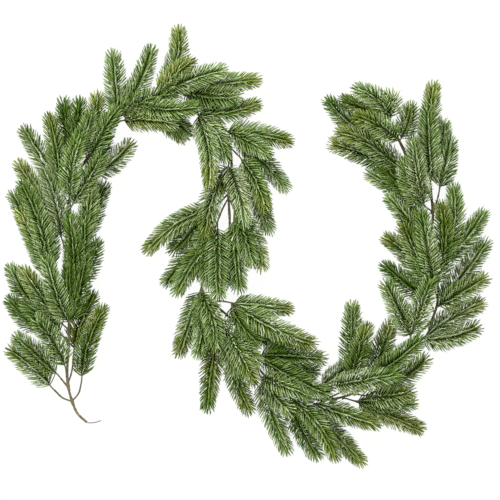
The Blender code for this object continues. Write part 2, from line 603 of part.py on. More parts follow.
def wire_mesh(line, radius, resolution):
    """A round wire along a line, as a closed mesh from a bevelled curve."""
    curve = bpy.data.curves.new("wire_line", "CURVE")
    curve.dimensions = "3D"
    curve.bevel_depth = radius
    curve.bevel_resolution = resolution
    curve.use_fill_caps = True
    spline = curve.splines.new("POLY")
    spline.points.add(len(line) - 1)
    for point, spot in zip(spline.points, line):
        point.co = (*spot, 1.0)
    drawn = bpy.data.objects.new("wire_line", curve)
    bpy.context.scene.collection.objects.link(drawn)
    mesh = bmesh.new()
    mesh.from_mesh(evaluated_mesh(drawn))
    bpy.data.objects.remove(drawn)
    bmesh.ops.remove_doubles(mesh, verts=mesh.verts, dist=WELD)
    bmesh.ops.recalc_face_normals(mesh, faces=mesh.faces)
    return mesh


def join(name, meshes, material, collection):
    """One solid object from closed meshes that run into the first: one union over a collection."""
    made = mesh_object(name, meshes[0], material, collection)
    if len(meshes) == 1:
        return
    others = bpy.data.collections.new(name + "_others")
    bpy.context.scene.collection.children.link(others)
    for number, mesh in enumerate(meshes[1:]):
        mesh_object(f"{name}_other_{number}", mesh, material, others)
    union = made.modifiers.new("union", "BOOLEAN")
    union.operation = "UNION"
    union.operand_type = "COLLECTION"
    union.collection = others
    # EXACT leaves faces that touch where sprays part at a narrow angle.
    union.solver = "MANIFOLD"
    joined = evaluated_mesh(made)
    made.modifiers.clear()
    made.data = joined
    for other in list(others.objects):
        bpy.data.objects.remove(other)
    bpy.data.collections.remove(others)


def principled(name, colour, roughness, metallic=0.0):
    """A plain Principled material."""
    material = bpy.data.materials.new(name)
    material.use_nodes = True
    shader = material.node_tree.nodes["Principled BSDF"]
    shader.inputs["Base Color"].default_value = (*colour, 1.0)
    shader.inputs["Roughness"].default_value = roughness
    shader.inputs["Metallic"].default_value = metallic
    material.diffuse_color = (*colour, 1.0)
    return material


def build_stem(collection, stem, twigs):
    """The wrapped stem and the brown twigs that fork from it, as one solid."""
    meshes = [wire_mesh(stem, STEM_RADIUS, SIX_SIDES)]
    meshes += [wire_mesh(twig, TWIG_RADIUS, FOUR_SIDES) for twig in twigs]
    join("stem", meshes, principled("stem_wrap", WRAP_COLOUR, 0.85), collection)


def build_wire_end(collection):
    """The bare wire that runs out of the wrapped tail."""
    line = smooth([place(*point) for point in WIRE_ROUTE], WIRE_STEP)
    line[0] += unit(line[1] - line[0]) * WIRE_GAP
    material = principled("wire_end", WIRE_COLOUR, 0.4, 0.6)
    join("wire_end", [wire_mesh(line, WIRE_RADIUS, FOUR_SIDES)], material, collection)


def needle_colour(name):
    """The colour of a sprig's needles."""
    if name in OLIVE_SPRIGS:
        return OLIVE
    return GREY_GREEN if name in GREY_SPRIGS else GREEN


def build_sprigs(collection, stem, twigs):
    """Every sprig of needles, each as one solid."""
    sprays = lay_out_sprays(stem)
    stalks = {spray["sprig"]: spray["stalk"] for spray in sprays}
    stalk_steps = [even_steps(stalk, CURVE_STEP) for stalk in stalks.values()]
    bend_clear(sprays, [even_steps(stem, CURVE_STEP)] + twigs + stalk_steps)
    rods = Rods()
    rods.add_line(stem, STEM_RADIUS, STEM_GROUP)
    for twig in twigs:
        rods.add_line(twig, TWIG_RADIUS, STEM_GROUP)
    for group, spray in enumerate(sprays):
        rods.add_line(spray["core"], CORE_RADIUS, group)
        if spray["leads"]:
            rods.add_line(spray["stalk"], CORE_RADIUS, group)
    draw = random.Random(SEED)
    meshes = {name: [] for name in SPRIGS}
    for group, spray in enumerate(sprays):
        meshes[spray["sprig"]].append(grow_spray(spray, group, rods, draw))
    for name, parts in meshes.items():
        join(name, parts, principled(name + "_needles", needle_colour(name), 0.55), collection)


def main():
    """Build the garland in an emptied scene."""
    for leftover in list(bpy.data.objects):
        bpy.data.objects.remove(leftover)
    collection = bpy.data.collections.new(COLLECTION_NAME)
    bpy.context.scene.collection.children.link(collection)
    stem = smooth([place(*point) for point in STEM_ROUTE], STEM_STEP)
    twigs = [twig_line(name) for name in TWIGS]
    build_stem(collection, stem, twigs)
    build_wire_end(collection)
    build_sprigs(collection, stem, twigs)


main()
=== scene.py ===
"""The Christmas garland as it looks: a crepe-wrapped stem, its bare wire and dense sprays of soft needles.

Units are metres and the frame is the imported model's. The layout is the part's own: the same routes, sprigs
and heights, bent clear of each other in the same way, so that each piece lies along the solid it replaces.
"""

import math

import bpy
import numpy as np
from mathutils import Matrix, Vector


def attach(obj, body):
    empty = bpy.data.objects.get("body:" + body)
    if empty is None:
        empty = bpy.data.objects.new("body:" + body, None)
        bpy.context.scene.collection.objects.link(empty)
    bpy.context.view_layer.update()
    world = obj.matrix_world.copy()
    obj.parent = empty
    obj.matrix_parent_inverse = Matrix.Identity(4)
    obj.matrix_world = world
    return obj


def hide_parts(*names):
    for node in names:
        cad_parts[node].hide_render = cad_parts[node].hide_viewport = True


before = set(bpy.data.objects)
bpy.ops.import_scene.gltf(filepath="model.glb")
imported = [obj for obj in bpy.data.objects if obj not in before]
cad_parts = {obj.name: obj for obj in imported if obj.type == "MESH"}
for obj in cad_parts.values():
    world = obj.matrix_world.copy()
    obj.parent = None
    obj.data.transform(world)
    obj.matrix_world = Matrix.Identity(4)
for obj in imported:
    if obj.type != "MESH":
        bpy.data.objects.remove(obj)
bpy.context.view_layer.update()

MM = 0.001
SEED = 41

# Driving dimensions. A garland sold 1.83 m long is this wide when it is laid in this S.
GARLAND_WIDTH = 0.737
WIDTH_IN_PIXELS = 491.0
PIXEL = GARLAND_WIDTH / WIDTH_IN_PIXELS
CENTRE_PIXEL = (248.16, 247.43)

# Radii of the stem, its twigs and the bare wire, and how far apart the points along each lie.
STEM_RADIUS = 0.0019
STEM_STEP = 0.020
TWIG_RADIUS = 0.0013
TWIG_STEP = 0.014
WIRE_RADIUS = 0.0007
WIRE_STEP = 0.001
WIRE_SIDES = 10
WIRE_END_WIDTHS = (0.85, 0.45)

# Samples of a smooth curve from each of its points to the next.
CURVE_SAMPLES = 24

# Touching solids keep a small gap: a stalk to the stem or to its twig's end, the wire to the stem's end.
SEAT_GAP = 0.0004
WIRE_GAP = 0.0007

# A stalk lies along the stem for a step, then bends out to its fork. A stub sits on the end of a twig.
STALK_RUN = 0.016
STALK_STEP = 0.005
STALK_LEAST_REACH = 0.0065
STUB_LENGTH = 0.006

# A spray's core, its sink into the fork, and the bare lengths at its foot and its tip. It is thinner where
# it carries needles, and thinner still towards its tip. A stalk turns green just before its needles.
CORE_RADIUS = 0.0013
CORE_SIDES = 6
CORE_TAPER = 0.45
ROOT_SINK = 0.0012
LEAST_BARE = 0.005
TIP_MARGIN = 0.007
NECK_DEPTH = 0.25
NECK_LENGTH = 0.004
GREEN_LENGTH = 0.012
FINE_STEP = 0.0025

# Cores are bent clear of each other, mostly up and down, so that the layout stays as the photograph's. A
# core is held at its foot and comes free along a ramp. Cores of one sprig may be close near their fork, and
# a core may be close to the stem, a twig or a stalk near its foot.
CORE_DISTANCE = 0.0085
LOWEST_CORE = 0.009
BEND_ROUNDS = 90
POINTS_PER_CORE = 17
CURVE_STEP = 0.005
PAIR_REACH = 0.016
FREE_AFTER = 0.004
FREE_RAMP = 0.014
FORK_REACH = 0.022
FOOT_REACH = 0.012
SIDEWAYS_SHARE = 0.25
PUSH_SHARE = 0.5
STRAIGHTEN_SHARE = 0.15
LEAST_OFFSET = 1e-6

# A needle is a curved rod of four sides: where its rings stand along it, and how thick and light they are.
# The lightness is painted shade at the base, where needles crowd round the core, and lighter tips, partly
# the needles' own paler ends and partly a painted highlight.
NEEDLE_SIDES = 4
NEEDLE_RADIUS = 0.00085
RING_PLACES = (0.0, 0.42, 0.86, 1.0)
RING_WIDTHS = (0.85, 1.0, 0.92, 0.0)
RING_LIGHTS = (0.76, 0.96, 1.15, 1.32)
FLATNESS = 0.85
CURL = math.radians(9)
CURL_SPREAD = math.radians(4)
LEAST_CURL = 0.01

# Needles start inside the core. Towards a spray's tip they lean further ahead and get shorter, and those at
# its foot are a little shorter too. A lean is the angle between a needle and the way ahead.
SEAT_SHARE = 0.6
LEAN_ALONG = math.radians(54)
LEAN_AT_TIP = math.radians(38)
LEAN_SPREAD = math.radians(2)
SPRAY_LEAN_SPREAD = math.radians(3)
NEEDLE_LENGTH = 0.0243
TIP_NEEDLE_LENGTH = 0.0177
TIP_SHARPNESS = 2.2
LENGTH_SPREAD = 0.05
FOOT_SHORTENING = 0.14
FOOT_SHARE = 0.16

# Needles stand in rows round the core, given as degrees from its crest, with a parting along the crest.
# Each row starts later by its own share of the pitch.
ROW_ANGLES = (-13, 13, -50, 50, -82, 82, -110, 110, -135, 135, -158, 158, 180)
ROW_SHIFTS = (0.0, 0.5, 0.0, 0.5, 0.02, 0.52, 0.5, 0.0, 0.25, 0.75, 0.75, 0.25, 0.5)
ROW_PITCH = 0.0041
ROW_SPREAD = math.radians(3)
STATION_SPREAD = 0.0002
ROLL_SPREAD = math.radians(14)

# A rosette closes each spray's tip.
TIP_NEEDLES = 13
TIP_LEAN = math.radians(38)
ROSETTE_DEPTH = 0.0030
GOLDEN_ANGLE = math.radians(137.508)

# Needles that would reach over the knee are pressed down, and none reaches the limit.
TOP_LIMIT = 0.0915
TOP_KNEE = 0.080

# Needle colours by name, and each spray's colour along it and, after the bar, at its tip.
TONES = {
    "mid": (0.121, 0.178, 0.053), "bright": (0.163, 0.228, 0.079), "dark": (0.084, 0.135, 0.028),
    "deep": (0.055, 0.100, 0.013), "olive": (0.144, 0.182, 0.043), "olive_dark": (0.100, 0.136, 0.021),
    "yellow": (0.194, 0.236, 0.066), "grey": (0.132, 0.178, 0.070), "grey_light": (0.182, 0.235, 0.105),
    "grey_dark": (0.086, 0.128, 0.035),
}
SPRAY_TONES = {
    "tail_left": ["grey_light|olive_dark"], "tail_low": ["dark"], "tail_fork": ["mid"],
    "tail_inner": ["olive_dark|deep"], "tail_right": ["dark|olive_dark"],
    "low_crown": ["mid", "deep", "deep|dark"], "left_fan": ["mid|olive", "deep|mid"],
    "left_skirt": ["bright|mid", "dark"], "left_trio": ["dark", "deep|mid", "deep|dark"],
    "left_edge": ["mid|yellow", "dark|mid", "bright|dark", "dark|bright"],
    "left_high": ["grey_light|grey", "mid|olive"],
    "shoulder_out": ["grey_light|grey_dark", "mid|olive_dark"],
    "shoulder_top": ["bright|dark", "mid|dark"], "inner_low": ["grey_dark", "bright|dark"],
    "arch_back": ["deep", "deep", "bright|dark"], "arch_crown": ["dark|olive", "mid|dark"],
    "arch_inner": ["deep", "grey_light|olive"], "horns": ["mid", "mid|dark", "dark|deep"],
    "arch_hang": ["olive|grey_light"], "summit": ["mid|olive", "yellow|olive", "mid|bright"],
    "top_right": ["bright|olive", "dark|mid", "deep|mid"],
    "top_front": ["bright|dark", "olive_dark", "deep|mid"],
    "bend_front": ["mid|olive", "bright|olive", "bright|mid"],
    "bend_right": ["bright|olive_dark", "mid|bright", "dark|bright"],
    "neck": ["grey_light|olive_dark", "deep", "grey_light|mid"],
    "neck_right": ["deep|bright", "bright|olive"], "wing": ["mid|olive", "deep|dark"],
    "wing_low": ["deep|dark", "dark|mid"], "tassel": ["dark|olive_dark", "mid", "deep|mid"],
    "tassel_right": ["mid", "bright|yellow", "dark|mid", "dark"],
    "waist": ["mid|olive_dark", "dark|mid", "bright|mid"], "waist_low": ["olive_dark|dark", "grey"],
    "sweep": ["dark|olive_dark", "bright|olive_dark", "dark|bright"],
    "side_arms": ["bright|olive", "bright|olive_dark", "dark", "dark"],
    "right_fan": ["deep|bright", "mid", "dark"], "under_fan": ["mid|bright", "grey|bright", "bright|dark"],
    "keel": ["deep|mid", "mid|olive_dark", "dark|olive_dark"], "keel_right": ["mid|olive_dark"],
    "prow": ["dark|mid", "dark|olive"], "prow_front": ["grey|olive", "grey_light|dark"],
    "rise": ["dark|olive", "mid|dark"], "rise_low": ["mid|olive", "bright|olive_dark"],
    "rise_skirt": ["dark|mid", "olive|olive_dark"], "hand_low": ["bright|olive_dark", "grey|olive_dark"],
    "hand_high": ["mid|olive_dark", "grey|dark"], "thumb": ["mid", "bright|dark"],
    "left_hand": ["deep", "mid|olive_dark"],
    "column": ["bright|olive_dark", "bright|dark", "dark|olive_dark"],
    "column_right": ["mid", "bright|mid"], "column_left": ["bright", "deep|bright"],
    "crest": ["grey_light|grey", "bright|mid", "deep"], "crest_right": ["grey_light|mid", "dark|bright"],
    "plume": ["bright|dark", "dark|olive"], "head_low": ["deep|olive", "mid|olive"],
    "head_mid": ["bright|olive_dark", "grey|dark", "dark|olive_dark"],
    "head_top": ["bright", "olive_dark|deep", "mid|bright"],
}
OLIVE_SPRIGS = ("tail_left", "tail_inner", "left_fan", "left_edge", "shoulder_top", "arch_crown",
                "arch_hang", "summit", "top_front", "wing", "sweep", "keel", "rise_low", "hand_low",
                "head_top", "thumb")
GREY_SPRIGS = ("left_high", "shoulder_out", "inner_low", "arch_inner", "bend_right", "neck_right",
               "prow_front", "hand_high", "crest", "waist_low")
STALK_COLOUR = (0.085, 0.075, 0.036)
CORE_COLOUR = (0.104, 0.150, 0.036)

# The gain of all tones, their spreads by chance, and where along a spray its tip's tone comes in.
TONE_GAIN = 1.285
HUE_SPREAD = 0.05
LIGHT_SPREAD = 0.26
SPRAY_LIGHT_SPREAD = 0.06
TIP_TONE_START = 0.45
TIP_TONE_RAMP = 0.5

# Needles below a core's sides get painted shade, ring by ring, darkest near the core where the needles above
# would shade them, and fully so where the cosine of their angle is this far below zero.
UNDERSIDE_PAINTED_SHADE = (0.06, 0.09, 0.36, 0.58)
UNDER_COSINE = 0.45

# Lighter needles are greyer, as a painted sheen, and darker ones deeper in colour, as painted shade. In
# levels that look even to the eye, red and blue follow a change of green by these shares, where the needle
# is lighter and where it is darker.
EYE_POWER = 2.2
LIGHTER_SHARES = (1.14, 1.0, 1.28)
DARKER_SHARES = (1.15, 1.0, 1.5)
LEAST_LEVEL = 0.02

# The crepe tape winds round the stem and the twigs, each turn a little proud of the last, with painted shade
# where a turn starts under the last one's edge and painted light up to its lap. Its thickness and its tone
# wander, and it swells where twigs join. The stem turns from tan to brown along its length, and each twig
# from tan to a dark end.
WRAP_PITCH = 0.0065
WRAP_STEP = 0.0013
WRAP_RISE = 0.16
WRAP_WOBBLE = 0.07
WOBBLE_PITCH = 0.004
KNOT_RISE = 0.35
KNOT_REACH = 0.0045
MOST_SWELL = 1.2
LAP_SHADE = 0.62
LAP_LIGHT = 0.5
MOTTLE = 0.14
MOTTLE_PITCH = 0.003
MARK_MARGIN = 0.01
STEM_SIDES = 12
TWIG_SIDES = 9
STEM_TAN = (0.121, 0.097, 0.047)
STEM_BROWN = (0.085, 0.078, 0.030)
TWIG_END = (0.060, 0.056, 0.026)
WIRE_GREY = (0.05, 0.049, 0.045)

# The grain of a material: noise that breaks up its colour, its roughness and its surface.
GRAIN_DETAIL = 4.0
GRAIN_LOW = 0.3
GRAIN_HIGH = 0.7
GRAIN_HEIGHT = 0.0002

# The camera looks straight down through a long lens, and the photograph's 500 pixels span its view.
PHOTO_CENTRE = (250.5, 250.2)
PHOTO_PIXELS = 500
CAMERA_HEIGHT = 16.0
MIDDLE_HEIGHT = 0.040
SENSOR = 36.0
NEAREST_SEEN = 0.1
FARTHEST_SEEN = 100.0

# The floor glows just white, in soft light from all round and from one broad lamp.
FLOOR_SIZE = 12.0
FLOOR_HEIGHT = -0.0003
FLOOR_COLOUR = (0.05, 0.05, 0.049, 1.0)
FLOOR_LIGHT = (1.0, 1.0, 0.985, 1.0)
FLOOR_GLOW = 0.95
SKY_STRENGTH = 1.6
KEY_PLACE = (-0.9, 1.1, 1.9)
KEY_SIZE = 1.2
KEY_POWER = 50.0

# The stem's centre line from the wrapped tail to the upper end: photo pixels and a height in millimetres.
STEM_ROUTE = [
    (87, 423, 2.6), (84.5, 422, 2.6), (80.5, 418.5, 3), (76, 411, 5), (72, 401, 9), (68.5, 387, 17),
    (67.5, 372, 26), (69, 350, 32), (69.5, 330, 35), (68, 308, 35), (66, 285, 34), (65, 265, 33),
    (67, 240, 33), (69, 220, 33), (69, 203, 33), (74, 186, 33), (83, 166, 33), (95, 146, 33),
    (108, 128, 33), (124, 113, 33), (142, 103, 33), (160, 94, 33), (178, 93, 33), (196, 99, 33),
    (212, 113, 33), (224, 132, 33), (231, 152, 33), (232, 174, 33), (229, 196, 33), (230, 214, 33),
    (229, 236, 33), (216, 262, 33), (203, 282, 33), (205, 295, 33), (219, 308, 33), (234, 322, 33),
    (245, 342, 33), (256, 364, 33), (273, 383, 33), (296, 395, 33), (320, 400, 33), (340, 398, 33),
    (362, 390, 33), (384, 377, 33), (402, 357, 33), (416, 337, 33), (431, 322, 33), (438, 302, 33),
    (438, 278, 33), (437, 254, 33), (432, 232, 33), (434, 212, 33), (430, 194, 33), (419, 176, 33),
    (408, 159, 33), (400, 141, 35), (391, 124, 37),
]
WIRE_ROUTE = [(87, 423, 2.6), (90, 423.5, 2.4), (95.5, 423, 2.0), (101.5, 421, 1.4)]

# Brown twigs that show between the sprays, from the stem to the sprig each one carries.
TWIGS = {
    "tail_left": [(72, 402, 8), (65, 400, 8), (58, 394, 10), (52, 388, 13)],
    "tail_low": [(68.4, 388, 16), (63, 381, 17), (58, 375, 18)],
    "tail_right": [(72, 402, 8), (78, 395, 9), (81, 388, 11), (82, 379, 14)],
    "tail_inner": [(68, 384, 19), (71, 376, 22), (73, 366, 24), (74, 352, 24)],
    "neck_right": [(228, 143, 33), (234, 151, 35), (241, 158, 36)],
    "wing": [(230, 192, 33), (221, 202, 33), (211, 209, 33)],
    "tassel": [(229, 198, 33), (222, 211, 36), (218, 222, 39)],
    "waist_low": [(209, 297, 33), (215, 306, 29), (220, 315, 28)],
    "side_arms": [(213, 303, 33), (222, 301, 38), (232, 303, 40)],
    "prow": [(325, 400, 33), (338, 394, 38), (347, 388, 41), (352, 379, 42)],
    "crest_right": [(434, 208, 33), (438, 200, 37), (440, 190, 39)],
    "plume": [(433, 204, 33), (432, 193, 40), (431, 182, 42)],
    "head_mid": [(407, 157, 33), (405, 149, 39), (400, 141, 44)],
}

# Sprigs, in photo pixels and millimetres: where the stalk forks, its height, and its sprays. A spray is the
# place halfway along its core, its core's tip, the heights of the two and the bare length at its foot.
SPRIGS = {
    "tail_left": ((52, 388), 13, [((31, 365), (12, 352), 18, 16, 3)]),
    "tail_low": ((58, 375), 18, [((38, 356), (18, 338), 27, 30, 3)]),
    "tail_fork": ((66, 368), 34, [((53, 340), (37, 320), 46, 60, 4)]),
    "tail_inner": ((74, 352), 24, [((80, 324), (93, 297), 26, 24, 6)]),
    "tail_right": ((82, 379), 14, [((87, 343), (103, 310), 36, 46, 3)]),
    "low_crown": ((70, 324), 43, [((56, 294), (48, 262), 63, 73, 5), ((69, 293), (70, 266), 49, 55, 6),
                                  ((80, 290), (86, 258), 45, 53, 6)]),
    "left_fan": ((60, 322), 29, [((42, 297), (25, 272), 37, 41, 8), ((29, 301), (12, 269), 21, 17, 24)]),
    "left_skirt": ((63, 336), 21, [((46, 319), (27, 305), 29, 31, 8),
                                   ((31, 324), (11, 301), 10, 12, 34)]),
    "left_trio": ((76, 284), 39, [((75, 250), (71, 218), 57, 67, 6), ((83, 252), (85, 222), 51, 61, 6),
                                  ((89, 268), (96, 243), 29, 25, 6)]),
    "left_edge": ((51, 278), 31, [((38, 245), (22, 213), 37, 45, 6), ((31, 226), (14, 196), 17, 15, 24),
                                  ((40, 218), (24, 186), 55, 65, 20),
                                  ((48, 226), (39, 188), 29, 27, 18)]),
    "left_high": ((62, 238), 35, [((58, 204), (46, 174), 45, 47, 4), ((41, 199), (20, 165), 15, 13, 26)]),
    "shoulder_out": ((61, 192), 37, [((44, 160), (25, 131), 29, 19, 5),
                                     ((57, 150), (50, 119), 45, 51, 5)]),
    "shoulder_top": ((71, 208), 41, [((71, 166), (82, 135), 69, 79, 18),
                                     ((88, 182), (102, 157), 55, 67, 8)]),
    "inner_low": ((83, 243), 27, [((93, 213), (104, 187), 21, 19, 4),
                                  ((89, 211), (92, 181), 45, 47, 10)]),
    "arch_back": ((75, 164), 33, [((67, 130), (64, 103), 23, 17, 8), ((77, 130), (80, 103), 33, 31, 6),
                                  ((85, 138), (92, 115), 49, 57, 8)]),
    "arch_crown": ((91, 156), 39, [((96, 120), (98, 98), 39, 41, 5),
                                   ((104, 130), (117, 111), 55, 63, 6)]),
    "arch_inner": ((93, 174), 27, [((101, 146), (107, 120), 19, 15, 8),
                                   ((114, 162), (130, 145), 17, 15, 6)]),
    "horns": ((119, 117), 35, [((116, 83), (113, 55), 29, 25, 6), ((140, 85), (151, 51), 37, 39, 7),
                               ((148, 100), (174, 95), 51, 54, 4)]),
    "arch_hang": ((122, 121), 39, [((150, 119), (174, 124), 51, 55, 2)]),
    "summit": ((157, 97), 39, [((178, 64), (179, 31), 23, 19, 12), ((175, 75), (190, 63), 51, 61, 8),
                               ((192, 79), (223, 71), 67, 65, 14)]),
    "top_right": ((184, 91), 38, [((222, 84), (256, 80), 37, 28, 22), ((212, 97), (238, 96), 52, 53, 8),
                                  ((206, 104), (229, 108), 17, 15, 8)]),
    "top_front": ((139, 105), 41, [((168, 111), (196, 108), 69, 75, 4),
                                   ((166, 121), (183, 137), 21, 17, 14),
                                   ((170, 116), (188, 133), 33, 29, 24)]),
    "bend_front": ((198, 114), 37, [((230, 113), (256, 105), 35, 37, 4),
                                    ((210, 148), (210, 182), 61, 67, 4),
                                    ((218, 134), (226, 158), 47, 49, 4)]),
    "bend_right": ((226, 131), 37, [((257, 134), (288, 141), 37, 29, 4),
                                    ((248, 141), (267, 153), 58, 63, 5),
                                    ((261, 158), (285, 187), 21, 19, 24)]),
    "neck": ((229, 166), 37, [((212, 197), (206, 234), 47, 55, 30), ((223, 178), (219, 189), 21, 15, 4),
                              ((240, 192), (245, 222), 71, 79, 5)]),
    "neck_right": ((241, 158), 36, [((258, 198), (269, 229), 23, 19, 14),
                                    ((256, 180), (265, 207), 55, 63, 4)]),
    "wing": ((211, 209), 33, [((177, 223), (149, 249), 33, 27, 4), ((191, 232), (174, 250), 17, 13, 6)]),
    "wing_low": ((212, 238), 27, [((189, 257), (167, 281), 15, 13, 8),
                                  ((193, 262), (178, 291), 39, 45, 8)]),
    "tassel": ((218, 222), 39, [((204, 248), (197, 274), 31, 27, 10),
                                ((218, 262), (219, 296), 61, 71, 12),
                                ((208, 256), (208, 284), 46, 43, 14)]),
    "tassel_right": ((235, 210), 37, [((236, 253), (240, 288), 47, 49, 22),
                                      ((254, 238), (262, 266), 37, 33, 8),
                                      ((246, 240), (252, 262), 57, 57, 12),
                                      ((229, 252), (230, 282), 31, 27, 30)]),
    "waist": ((201, 290), 27, [((190, 322), (180, 352), 17, 15, 4), ((205, 322), (199, 353), 41, 47, 4),
                               ((213, 318), (217, 346), 51, 57, 8)]),
    "waist_low": ((220, 315), 28, [((212, 366), (208, 407), 19, 15, 26),
                                   ((226, 344), (238, 372), 43, 51, 4)]),
    "sweep": ((229, 332), 35, [((235, 376), (249, 410), 25, 19, 16), ((241, 356), (254, 381), 59, 69, 6),
                               ((245, 347), (258, 363), 53, 55, 4)]),
    "side_arms": ((232, 303), 40, [((260, 307), (288, 309), 27, 19, 4),
                                   ((272, 328), (312, 344), 57, 55, 24),
                                   ((258, 333), (287, 350), 23, 19, 14),
                                   ((238, 322), (258, 342), 49, 47, 6)]),
    "right_fan": ((257, 356), 39, [((291, 356), (322, 359), 37, 31, 8),
                                   ((288, 370), (315, 372), 19, 15, 10),
                                   ((296, 380), (327, 394), 59, 65, 22)]),
    "under_fan": ((261, 377), 29, [((271, 413), (287, 450), 19, 15, 10),
                                   ((275, 396), (291, 411), 43, 55, 4),
                                   ((285, 385), (309, 395), 61, 63, 6)]),
    "keel": ((290, 397), 33, [((301, 427), (317, 456), 19, 15, 6), ((317, 421), (335, 456), 53, 61, 6),
                              ((330, 428), (361, 462), 25, 17, 26)]),
    "keel_right": ((313, 403), 37, [((345, 414), (375, 424), 45, 45, 4)]),
    "prow": ((352, 379), 42, [((352, 342), (353, 307), 29, 21, 8), ((360, 351), (367, 328), 57, 63, 8)]),
    "prow_front": ((320, 388), 35, [((343, 373), (368, 352), 21, 17, 6),
                                    ((361, 381), (398, 374), 73, 79, 28)]),
    "rise": ((370, 380), 41, [((382, 350), (391, 325), 37, 39, 10),
                              ((397, 360), (420, 341), 65, 71, 10)]),
    "rise_low": ((366, 396), 33, [((403, 380), (426, 360), 23, 21, 18),
                                  ((389, 397), (410, 392), 51, 57, 8)]),
    "rise_skirt": ((354, 401), 29, [((383, 403), (412, 404), 33, 31, 8),
                                    ((386, 414), (420, 429), 15, 13, 10)]),
    "hand_low": ((422, 339), 31, [((451, 338), (477, 328), 17, 15, 3),
                                  ((456, 316), (481, 304), 35, 29, 14)]),
    "hand_high": ((437, 308), 39, [((463, 292), (484, 279), 49, 43, 3),
                                   ((466, 272), (486, 244), 25, 21, 12)]),
    "thumb": ((411, 337), 41, [((400, 312), (387, 285), 59, 63, 4), ((421, 308), (431, 281), 61, 71, 5)]),
    "left_hand": ((428, 300), 29, [((407, 284), (387, 267), 15, 13, 6),
                                   ((413, 257), (388, 239), 31, 25, 16)]),
    "column": ((435, 288), 39, [((415, 252), (404, 225), 51, 55, 10),
                                ((428, 250), (421, 213), 69, 75, 5),
                                ((446, 246), (442, 206), 55, 57, 8)]),
    "column_right": ((445, 262), 37, [((466, 240), (483, 215), 29, 23, 4),
                                      ((456, 222), (454, 189), 41, 37, 10)]),
    "column_left": ((424, 240), 33, [((407, 217), (391, 199), 41, 37, 4),
                                     ((406, 193), (371, 174), 21, 15, 18)]),
    "crest": ((425, 206), 41, [((417, 172), (413, 141), 73, 79, 5), ((411, 187), (404, 163), 57, 61, 5),
                               ((403, 187), (384, 165), 33, 27, 14)]),
    "crest_right": ((440, 190), 39, [((445, 166), (450, 142), 39, 37, 3),
                                     ((442, 153), (444, 124), 19, 15, 10)]),
    "plume": ((431, 182), 42, [((429, 144), (428, 111), 61, 67, 5), ((430, 121), (434, 87), 29, 23, 30)]),
    "head_low": ((402, 169), 29, [((364, 153), (334, 144), 25, 21, 8),
                                  ((368, 141), (341, 132), 49, 53, 6)]),
    "head_mid": ((400, 141), 44, [((379, 125), (357, 117), 69, 75, 4),
                                  ((352, 127), (330, 102), 19, 17, 28),
                                  ((408, 125), (411, 108), 39, 43, 4)]),
    "head_top": ((391, 121), 39, [((379, 99), (358, 90), 55, 59, 5), ((368, 109), (345, 101), 31, 29, 5),
                                  ((392, 107), (390, 95), 49, 53, 4)]),
}


def place(x, y, height):
    """A place in the part's frame from photo pixels and a height in millimetres."""
    return np.array([(x - CENTRE_PIXEL[0]) * PIXEL, (CENTRE_PIXEL[1] - y) * PIXEL, height * MM])


def unit(vector):
    """The vector at length one."""
    return vector / np.linalg.norm(vector)


def lengths_along(line):
    """The distance from the line's start to each of its points."""
    return np.concatenate([[0], np.cumsum(np.linalg.norm(np.diff(line, axis=0), axis=1))])


def values_at(distances, along, values):
    """Rows of values at the given distances along a line, between those that stand at its own points."""
    return np.stack([np.interp(distances, along, values[:, axis]) for axis in range(3)], axis=1)


def points_at(line, distances):
    """The places on a line at the given distances from its start."""
    return values_at(distances, lengths_along(line), line)


def ways_along(line):
    """The way ahead at each point of a line."""
    ahead = np.gradient(line, axis=0)
    return ahead / np.linalg.norm(ahead, axis=1)[:, None]


def even_steps(line, step):
    """The same line, cut into equal pieces of about one step."""
    length = lengths_along(line)[-1]
    return points_at(line, np.linspace(0, length, max(2, round(length / step) + 1)))


def smooth(points, step):
    """A Catmull-Rom curve through the points, cut into equal pieces of about one step."""
    points = np.array(points)
    ends = np.vstack([2 * points[0] - points[1], points, 2 * points[-1] - points[-2]])
    t = np.linspace(0, 1, CURVE_SAMPLES, endpoint=False)[:, None]
    pieces = []
    for a, b, c, d in zip(ends, ends[1:], ends[2:], ends[3:]):
        bend = 2 * a - 5 * b + 4 * c - d
        pieces.append(b + 0.5 * ((c - a) * t + bend * t**2 + (3 * b - a - 3 * c + d) * t**3))
    return even_steps(np.vstack(pieces + [points[-1:]]), step)


def nearest_on(line, point):
    """How far along a line its nearest place to a point is."""
    a, b = line[:-1], line[1:]
    share = np.clip(np.sum((point - a) * (b - a), axis=1) / np.sum((b - a)**2, axis=1), 0, 1)
    gaps = np.linalg.norm(a + share[:, None] * (b - a) - point, axis=1)
    nearest = int(np.argmin(gaps))
    along = lengths_along(line)
    return along[nearest] + share[nearest] * (along[nearest + 1] - along[nearest])


def twig_line(name):
    """A twig's centre line, which ends one seat gap before the stub of the sprig it carries."""
    points = [place(*point) for point in TWIGS[name]]
    points[-1] = points[-1] - unit(points[-1] - points[-2]) * (STUB_LENGTH + SEAT_GAP)
    return smooth(points, TWIG_STEP)


def stalk_line(name, stem):
    """A sprig's stalk, from its seat on the stem or on its twig's end to the place where it forks."""
    fork = place(*SPRIGS[name][0], SPRIGS[name][1])
    if name in TWIGS:
        return np.array([fork - unit(fork - place(*TWIGS[name][-2])) * STUB_LENGTH, fork])
    beside = nearest_on(stem, fork)
    axis_place = points_at(stem, [beside])[0]
    reach = np.linalg.norm(fork - axis_place)
    if reach < STALK_LEAST_REACH:
        fork = axis_place + (fork - axis_place) * STALK_LEAST_REACH / reach
    seat = max(beside - STALK_RUN, STALK_STEP)
    on_axis = points_at(stem, [seat, seat + STALK_STEP])
    run = unit(on_axis[1] - on_axis[0])
    aside = fork - axis_place
    aside = unit(aside - run * np.dot(aside, run))
    return np.vstack([on_axis + (STEM_RADIUS + SEAT_GAP + CORE_RADIUS) * aside, fork])


